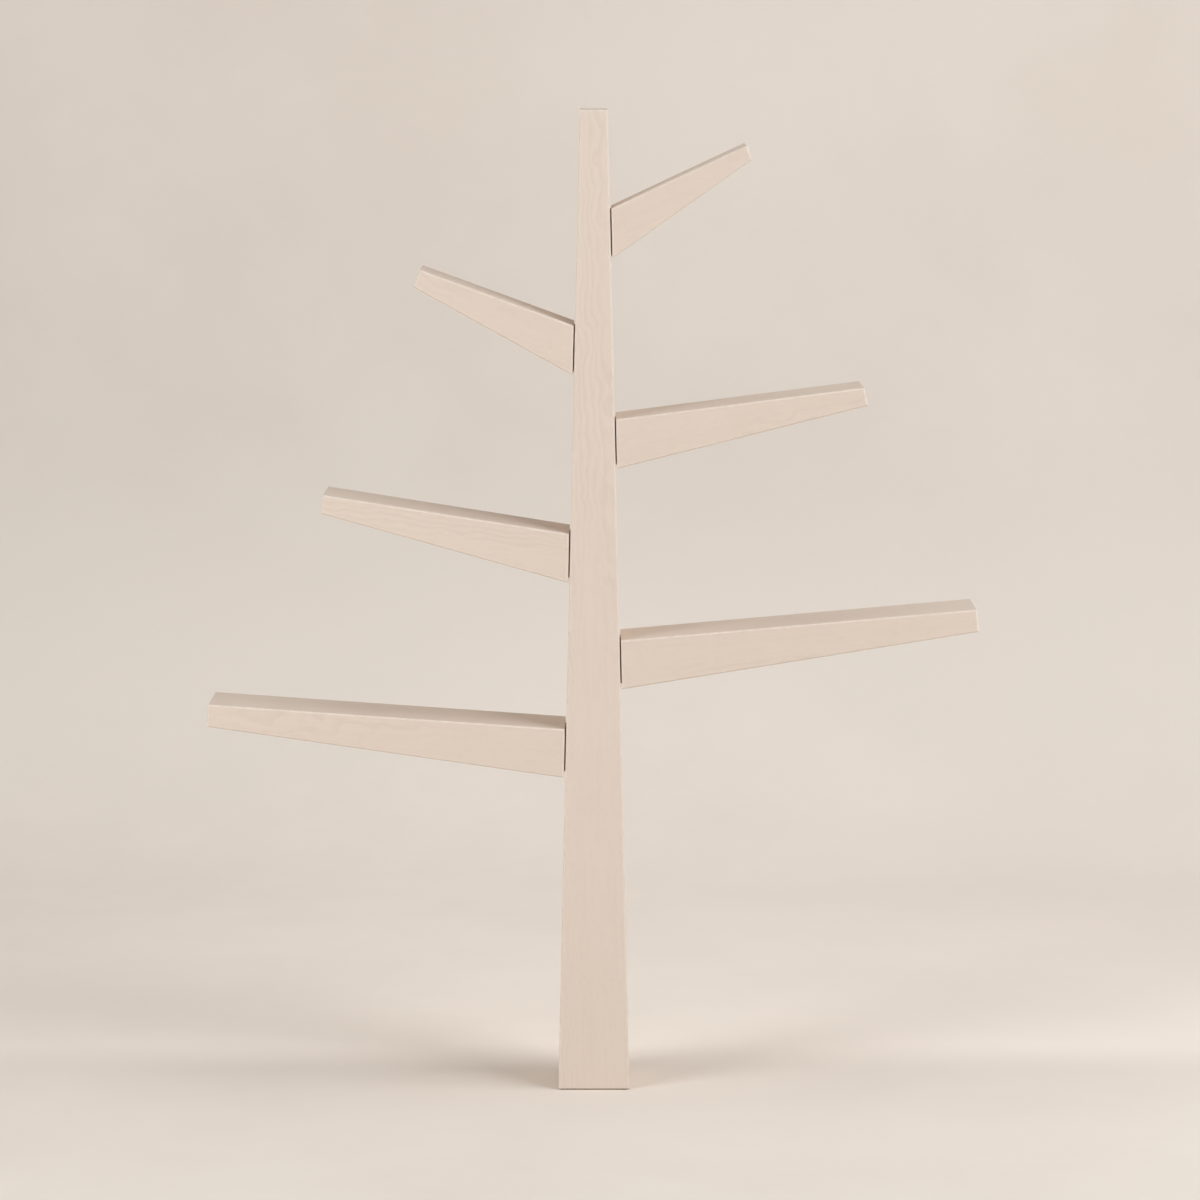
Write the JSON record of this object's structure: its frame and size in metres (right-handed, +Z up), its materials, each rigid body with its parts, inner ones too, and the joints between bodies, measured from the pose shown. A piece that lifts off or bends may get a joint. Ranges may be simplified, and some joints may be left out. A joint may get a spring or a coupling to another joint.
{
  "type": "tree shaped bookshelf",
  "caption": "Free-standing bookshelf shaped as a tree: a tapered timber trunk with wedge shaped branches rising left and right, each a shelf for books.",
  "frame": {"origin": "centre of the foot, on the floor", "axes": "+Z up along the trunk, +Y to the back, towards the wall, +X to the right seen from the front"},
  "size_m": [1.2541, 0.15, 1.6],
  "materials": {
    "timber": "pale bleached ash with a thin white wash, matt",
    "steel": "bright zinc plated",
    "rubber": "matt black sheet"
  },
  "bodies": {
    "root": {"foot_pad": "rubber", "trunk": "timber", "branch_right_upper": "timber", "bolt_right_upper": "steel", "barrel_nut_right_upper": "steel", "bolt_cover_right_upper": "timber", "branch_left_upper": "timber", "bolt_left_upper": "steel", "barrel_nut_left_upper": "steel", "bolt_cover_left_upper": "timber", "branch_right_middle": "timber", "bolt_right_middle": "steel", "barrel_nut_right_middle": "steel", "bolt_cover_right_middle": "timber", "branch_left_middle": "timber", "bolt_left_middle": "steel", "barrel_nut_left_middle": "steel", "bolt_cover_left_middle": "timber", "branch_right_lower": "timber", "bolt_right_lower": "steel", "barrel_nut_right_lower": "steel", "bolt_cover_right_lower": "timber", "branch_left_lower": "timber", "bolt_left_lower": "steel", "barrel_nut_left_lower": "steel", "bolt_cover_left_lower": "timber", "hanger_plate_upper": "steel", "hanger_screw_upper_top": "steel", "hanger_screw_upper_bottom": "steel", "hanger_plate_lower": "steel", "hanger_screw_lower_top": "steel", "hanger_screw_lower_bottom": "steel"}
  },
  "joints": []
}
